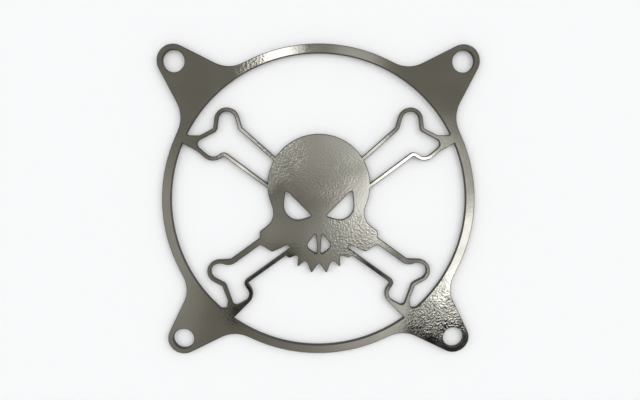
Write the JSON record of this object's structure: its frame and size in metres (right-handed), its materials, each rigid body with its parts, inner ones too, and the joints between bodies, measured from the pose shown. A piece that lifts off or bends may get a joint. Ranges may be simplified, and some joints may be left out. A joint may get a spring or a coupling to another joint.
{
  "type": "fan cover",
  "caption": "Flat laser-cut metal guard for a case fan: a round rim with screw ears carries a skull over crossed bones drawn in outline.",
  "frame": {"origin": "centre of the rim on the back face of the sheet", "axes": "+Z out of the front face, +Y towards the top of the skull, +X to the right seen from the front; the sheet lies flat on its back"},
  "size_m": [0.08, 0.08, 0.0012],
  "materials": {
    "sheet": "mirror-polished steel sheet"
  },
  "bodies": {
    "root": {"fan_cover": "sheet"}
  },
  "joints": []
}
